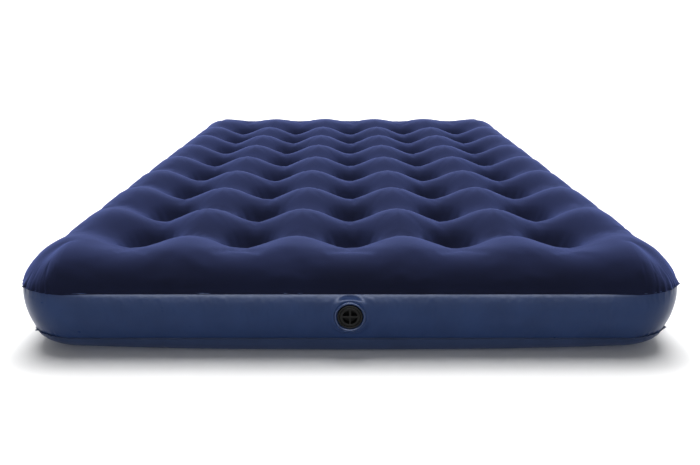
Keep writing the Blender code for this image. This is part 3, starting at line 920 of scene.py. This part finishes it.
def thread(root, crest, start):
    """A right-hand ridge that tapers off at both ends; its root lies inside the wall it is on."""
    bm = bmesh.new()
    steps = round(TURNED_STEPS * THREAD_TURNS)
    taper = TURNED_STEPS / 10
    sections = []
    for step in range(steps + 1):
        angle = 2 * math.pi * step / TURNED_STEPS
        middle = start + THREAD_PITCH * step / TURNED_STEPS
        grown = min(1.0, 0.45 + step / taper, 0.45 + (steps - step) / taper)
        tip = root + (crest - root) * grown
        section = []
        for radius, offset in (
            (root, -THREAD_ROOT_WIDTH / 2),
            (tip, -THREAD_CREST_WIDTH / 2),
            (tip, THREAD_CREST_WIDTH / 2),
            (root, THREAD_ROOT_WIDTH / 2),
        ):
            place = (radius * math.cos(angle), radius * math.sin(angle), middle + offset)
            section.append(bm.verts.new(place))
        sections.append(section)
    for section, following in zip(sections, sections[1:]):
        for k in range(4):
            after = (k + 1) % 4
            bm.faces.new((section[k], following[k], following[after], section[after]))
    bm.faces.new(sections[0])
    bm.faces.new(sections[-1][::-1])
    return valve_object("thread_ridge", bm)


def rounded_block(low, high, edge):
    """A block with rounded edges between two corners, to be joined to a turned piece."""
    size = Vector(high) - Vector(low)
    middle = (Vector(high) + Vector(low)) / 2
    bm = bmesh.new()
    bmesh.ops.create_cube(bm, size=1, matrix=Matrix.Translation(middle) @ Matrix.Diagonal((*size, 1)))
    if edge:
        bmesh.ops.bevel(bm, geom=bm.edges, offset=edge, segments=3, profile=0.5, affect="EDGES")
    return valve_object("block", bm)


def round_bar(radius, low_x, high_x, y, height):
    """A round bar across the valve, to be cut away or joined."""
    bm = bmesh.new()
    middle = Matrix.Translation(((low_x + high_x) / 2, y, height))
    place = middle @ Matrix.Rotation(math.pi / 2, 4, "Y")
    length = high_x - low_x
    bmesh.ops.create_cone(
        bm, cap_ends=True, segments=32, radius1=radius, radius2=radius, depth=length, matrix=place)
    return valve_object("round_bar", bm)


def merge(piece, tools, operation="UNION"):
    """Joins tools to a piece, or cuts them away, and removes the tools."""
    for tool in tools:
        boolean = piece.modifiers.new("Join", "BOOLEAN")
        boolean.operation = operation
        boolean.solver = "EXACT"
        boolean.object = tool
    bpy.context.view_layer.update()
    apply_modifiers(piece)
    for tool in tools:
        bpy.data.objects.remove(tool)
    piece.data.shade_smooth()
    piece.data.set_sharp_from_angle(angle=SHARP_ANGLE)


def arc(centre, radii, start, end, steps=5):
    """Points of (height, radius) along an elliptic arc, angles in degrees from the outward axis."""
    points = []
    for k in range(steps + 1):
        angle = math.radians(start + (end - start) * k / steps)
        points.append((centre[0] + radii[0] * math.cos(angle), centre[1] + radii[1] * math.sin(angle)))
    return points


def make_collar(material):
    """Soft moulded collar: a swollen ring that shows, the weld skirt behind the band, and a neck."""
    profile = arc((0.0002, 0.0293), (0.0046, 0.0033), -82, 62, 16)
    profile += [(-0.0007, 0.0320), (-0.0007, 0.0365), (-0.0017, 0.0365), (-0.0017, 0.0305)]
    profile += [(-0.0060, 0.0270), (-0.0213, 0.0270), (-0.0213, 0.0248)]
    profile += [(-0.0058, 0.0248), (-0.0058, 0.0259)]
    declare(turned("valve_collar", profile), "bed", "gloss_vinyl", material, "valve_flange")


def make_base(material):
    profile = [
        (-0.0055, BASE_ROOT + 0.0003), (-0.0055, 0.0243), (-0.0057, 0.0245),
        (-0.0208, 0.0245), (-0.0210, 0.0243), (-0.0210, BASE_ROOT), (-0.0058, BASE_ROOT),
    ]
    base = turned("threaded_base", profile)
    merge(base, [thread(BASE_ROOT + THREAD_BITE, BASE_CREST, INSERT_THREAD_START - THREAD_PITCH / 2)])
    declare(base, "bed", "base_plastic", material, "valve_base")


def make_insert(material):
    """Large screw piece: rounded rim, threaded tube, seat plate and hinge lugs."""
    profile = arc((0.0042, 0.0221), (0.0008, 0.0008), -90, 0, 4)
    profile += arc((0.0038, 0.0238), (0.0012, 0.0012), 0, 90, 5)
    profile += [
        (-0.0030, 0.0250), (-0.0035, 0.0245), (-0.0035, INSERT_ROOT), (-0.0186, INSERT_ROOT),
        (-0.0190, 0.0206), (-0.0190, 0.0117), (-0.0188, 0.0115), (-0.0177, 0.0115), (-0.0175, 0.0117),
        (-0.0175, BORE_ROOT), (-0.0018, BORE_ROOT), (-0.0015, BORE_ROOT + 0.0003), (-0.0015, 0.0213),
    ]
    insert = turned("screw_insert", profile)
    parts = [
        thread(INSERT_ROOT - THREAD_BITE, INSERT_CREST, INSERT_THREAD_START),
        thread(BORE_ROOT + THREAD_BITE, BORE_CREST, PLUG_THREAD_START - THREAD_PITCH / 2),
    ]
    for low_x, high_x in HINGE_LUGS:
        low = (low_x, HINGE_Y - LUG_HALF_HEIGHT, HINGE_HEIGHT - LUG_DROP)
        high = (high_x, HINGE_Y + LUG_HALF_HEIGHT, SEAT_HEIGHT)
        parts.append(rounded_block(low, high, 0.0003))
    merge(insert, parts)
    hole = round_bar(HINGE_HOLE_RADIUS, -HINGE_HOLE_REACH, HINGE_HOLE_REACH, HINGE_Y, HINGE_HEIGHT)
    merge(insert, [hole], "DIFFERENCE")
    declare(insert, "insert", "valve_plastic", material, "valve_insert")


def make_cap(material):
    """Small screw piece: rounded rim round a deep pocket that a raised cross divides in four."""
    profile = [(-0.0095, 0.0), (-0.0095, 0.0142)]
    profile += arc((-0.0087, 0.0142), (0.0008, 0.0008), 180, 90, 4)[1:]
    profile += arc((0.0037, 0.0158), (0.0008, 0.0008), -90, 0, 4)
    profile += arc((0.0035, 0.0196), (0.0010, 0.0010), 0, 90, 5)
    profile += [
        (0.0003, 0.0206), (0.0001, 0.0204), (0.0001, PLUG_ROOT), (-0.0107, PLUG_ROOT),
        (-0.0110, 0.0159), (-0.0110, 0.0),
    ]
    cap = turned("screw_cap", profile)
    half, reach = CROSS_HALF_WIDTH, CROSS_REACH
    bottom, top = CROSS_BOTTOM, CROSS_TOP
    lower_bottom, lower_top = bottom - CROSS_STEP, top - CROSS_STEP
    parts = [
        thread(PLUG_ROOT - THREAD_BITE, PLUG_CREST, PLUG_THREAD_START),
        rounded_block((-half, -reach, bottom), (half, reach, top), 0.0005),
        rounded_block((-reach, -half, lower_bottom), (reach, half, lower_top), 0.0005),
    ]
    merge(cap, parts)
    declare(cap, "cap", "valve_plastic", material, "valve_cap")


# Scene

FOCAL_PIXELS = 640
IMAGE_WIDTH = 700
SENSOR = 36.0
CAMERA_BACK = 1.161
CAMERA_HEIGHT = 0.656
CAMERA_PITCH = math.radians(18.36)


def look_at(thing, target):
    direction = Vector(target) - thing.location
    thing.rotation_euler = direction.to_track_quat("-Z", "Y").to_euler()


def add_area(name, location, target, size, radiance):
    """A rectangular softbox, its strength given as the brightness of its face."""
    light = bpy.data.lights.new(name, "AREA")
    light.shape = "RECTANGLE"
    light.size, light.size_y = size
    light.energy = radiance * math.pi * size[0] * size[1]
    lamp = bpy.data.objects.new(name, light)
    lamp.location = location
    bpy.context.scene.collection.objects.link(lamp)
    look_at(lamp, target)
    return lamp


def make_camera():
    data = bpy.data.cameras.new("camera")
    data.sensor_width = SENSOR
    data.lens = SENSOR * FOCAL_PIXELS / IMAGE_WIDTH
    data.clip_end = 200
    camera = bpy.data.objects.new("camera", data)
    camera.location = (0, BAND_LOW.y - CAMERA_BACK, CAMERA_HEIGHT)
    camera.rotation_euler = (math.pi / 2 - CAMERA_PITCH, 0, 0)
    bpy.context.scene.collection.objects.link(camera)
    bpy.context.scene.camera = camera


WORLD_FRONT = 0.15
WORLD_BACK = 1.2
WORLD_SPREAD = (0.05, 0.75)
HORIZON_SPAN = 0.5
HORIZON_STOPS = ((0.44, 0.0), (0.47, 1.0), (0.60, 1.0), (0.76, 0.0))


def make_world():
    """A studio that is white behind the bed and all round the horizon, and dim in front and above."""
    world = bpy.data.worlds.new("studio")
    world.use_nodes = True
    tree = world.node_tree
    split = tree.nodes.new("ShaderNodeSeparateXYZ")
    tree.links.new(tree.nodes.new("ShaderNodeTexCoord").outputs["Generated"], split.inputs[0])
    spread = tree.nodes.new("ShaderNodeMapRange")
    spread.inputs["From Min"].default_value = WORLD_SPREAD[0]
    spread.inputs["From Max"].default_value = WORLD_SPREAD[1]
    spread.inputs["To Min"].default_value = WORLD_FRONT
    spread.inputs["To Max"].default_value = WORLD_BACK
    tree.links.new(split.outputs["Y"], spread.inputs["Value"])
    rise = tree.nodes.new("ShaderNodeMapRange")
    rise.inputs["From Min"].default_value = -HORIZON_SPAN
    rise.inputs["From Max"].default_value = HORIZON_SPAN
    tree.links.new(split.outputs["Z"], rise.inputs["Value"])
    stops = [(position, grey_level(value)) for position, value in HORIZON_STOPS]
    horizon = ramp_node(tree, rise.outputs["Result"], stops)
    strength = tree.nodes.new("ShaderNodeMath")
    strength.operation = "MAXIMUM"
    tree.links.new(spread.outputs["Result"], strength.inputs[0])
    tree.links.new(horizon.outputs["Color"], strength.inputs[1])
    background = tree.nodes["Background"]
    tree.links.new(strength.outputs["Value"], background.inputs["Strength"])
    background.inputs["Color"].default_value = (1, 1, 1, 1)
    bpy.context.scene.world = world


FLOOR_REACH = 30
FLOOR_COLOUR = (0.90, 0.90, 0.90, 1)
FRONT_BACK = 3.2
FRONT_WIDTH = 5.0
FRONT_AIM = 0.13
FRONT_BOXES = (
    # name, height, size upwards, brightness
    ("front_high", 2.55, 1.3, 18),
    ("front_low", 1.35, 0.9, 3),
)
SUN_STRENGTH = 3.1
SUN_ANGLE = 0.75
SUN_TILT = math.radians(-16)


def make_floor():
    """A wide pale floor that sends no light back up to matt surfaces."""
    r = FLOOR_REACH
    floor = make_object("floor", [(-r, -r, 0), (r, -r, 0), (r, r, 0), (-r, r, 0)], [(0, 1, 2, 3)])
    material, tree, shader = new_material("pale_floor")
    shader.inputs["Base Color"].default_value = FLOOR_COLOUR
    shader.inputs["Roughness"].default_value = 0.9
    shader.inputs["Specular IOR Level"].default_value = 0.1
    give(floor, material)
    floor.visible_diffuse = False


def make_lights():
    """Softboxes for the band's highlight and the far walls of the dimples, and a very soft sun."""
    foot = BAND_LOW.y
    for name, height, size_y, radiance in FRONT_BOXES:
        place, target = (0, foot - FRONT_BACK, height), (0, foot, FRONT_AIM)
        softbox = add_area(name, place, target, (FRONT_WIDTH, size_y), radiance)
        softbox.visible_diffuse = False
    add_area("overhead_box", (0, BED_Y + 0.30, 1.9), (0, BED_Y + 0.1, 0), (0.9, 1.5), radiance=7.5)
    add_area("back_box", (0, BED_Y + 2.6, 1.2), (0, BED_Y + 0.6, 0.2), (3.0, 0.8), radiance=3.0)
    fill = add_area("front_fill", (0, foot - 2.4, 0.22), (0, foot, 0.10), (4.5, 0.4), radiance=2.4)
    fill.visible_glossy = False
    sun = bpy.data.objects.new("overhead", bpy.data.lights.new("overhead", "SUN"))
    sun.data.energy = SUN_STRENGTH
    sun.data.angle = SUN_ANGLE
    sun.rotation_euler = (SUN_TILT, 0, 0)
    sun.location = (0, 0, 3)
    bpy.context.scene.collection.objects.link(sun)


NAVY_VINYL = (0.0250, 0.0520, 0.1560)
UNDERSIDE_VINYL = (0.0360, 0.0560, 0.1300)
COIL_VINYL = (0.0220, 0.0400, 0.1100)
BLACK_PLASTIC = (0.0030, 0.0030, 0.0030)
GREY_PLASTIC = (0.055, 0.057, 0.061)
CLEAR_RUBBER = (0.46, 0.48, 0.50)
PIN_STEEL = (0.60, 0.61, 0.62)


def main():
    make_camera()
    flock = flock_material()
    vinyl = vinyl_material("glossy_navy_vinyl", NAVY_VINYL, roughness=0.30, specular=0.16)
    underside_vinyl = vinyl_material("underside_vinyl", UNDERSIDE_VINYL, 0.36, 0.12)
    coil_vinyl = vinyl_material("coil_vinyl", COIL_VINYL, 0.34, 0.35)
    collar_vinyl = vinyl_material("collar_vinyl", NAVY_VINYL, 0.22, 0.34)
    black = moulded_material("black_plastic", BLACK_PLASTIC, 0.40, specular=0.12)
    grey = moulded_material("grey_plastic", GREY_PLASTIC, 0.42)
    rubber = moulded_material("clear_rubber", CLEAR_RUBBER, 0.45, grain_scale=1800)
    steel = moulded_material("pin_steel", PIN_STEEL, 0.27, grain_scale=5200, metallic=1.0)

    top = make_top_panel()
    swell(top, hold_top, TOP_SWELL, TOP_SLACK)
    add_gauge(top, TOP_GAUGE)
    declare(top, "bed", "flock", flock, "top_panel")

    band = make_side_band()
    swell(band, hold_band, BAND_SWELL, BAND_SLACK)
    add_gauge(band, FILM_GAUGE)
    open_valve_hole(band)
    declare(band, "bed", "gloss_vinyl", vinyl, "side_band")

    under = make_underside()
    add_gauge(under, FILM_GAUGE)
    declare(under, "bed", "underside_vinyl", underside_vinyl, "bottom_panel")

    make_coils(coil_vinyl)
    make_collar(collar_vinyl)
    make_base(grey)
    make_insert(black)
    make_cap(black)
    for name in ("insert_seal", "cap_seal", "valve_flap"):
        give(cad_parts[name], rubber)
    give(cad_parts["flap_pin"], steel)

    make_floor()
    make_world()
    make_lights()
    bpy.context.scene.view_settings.view_transform = "Standard"


main()
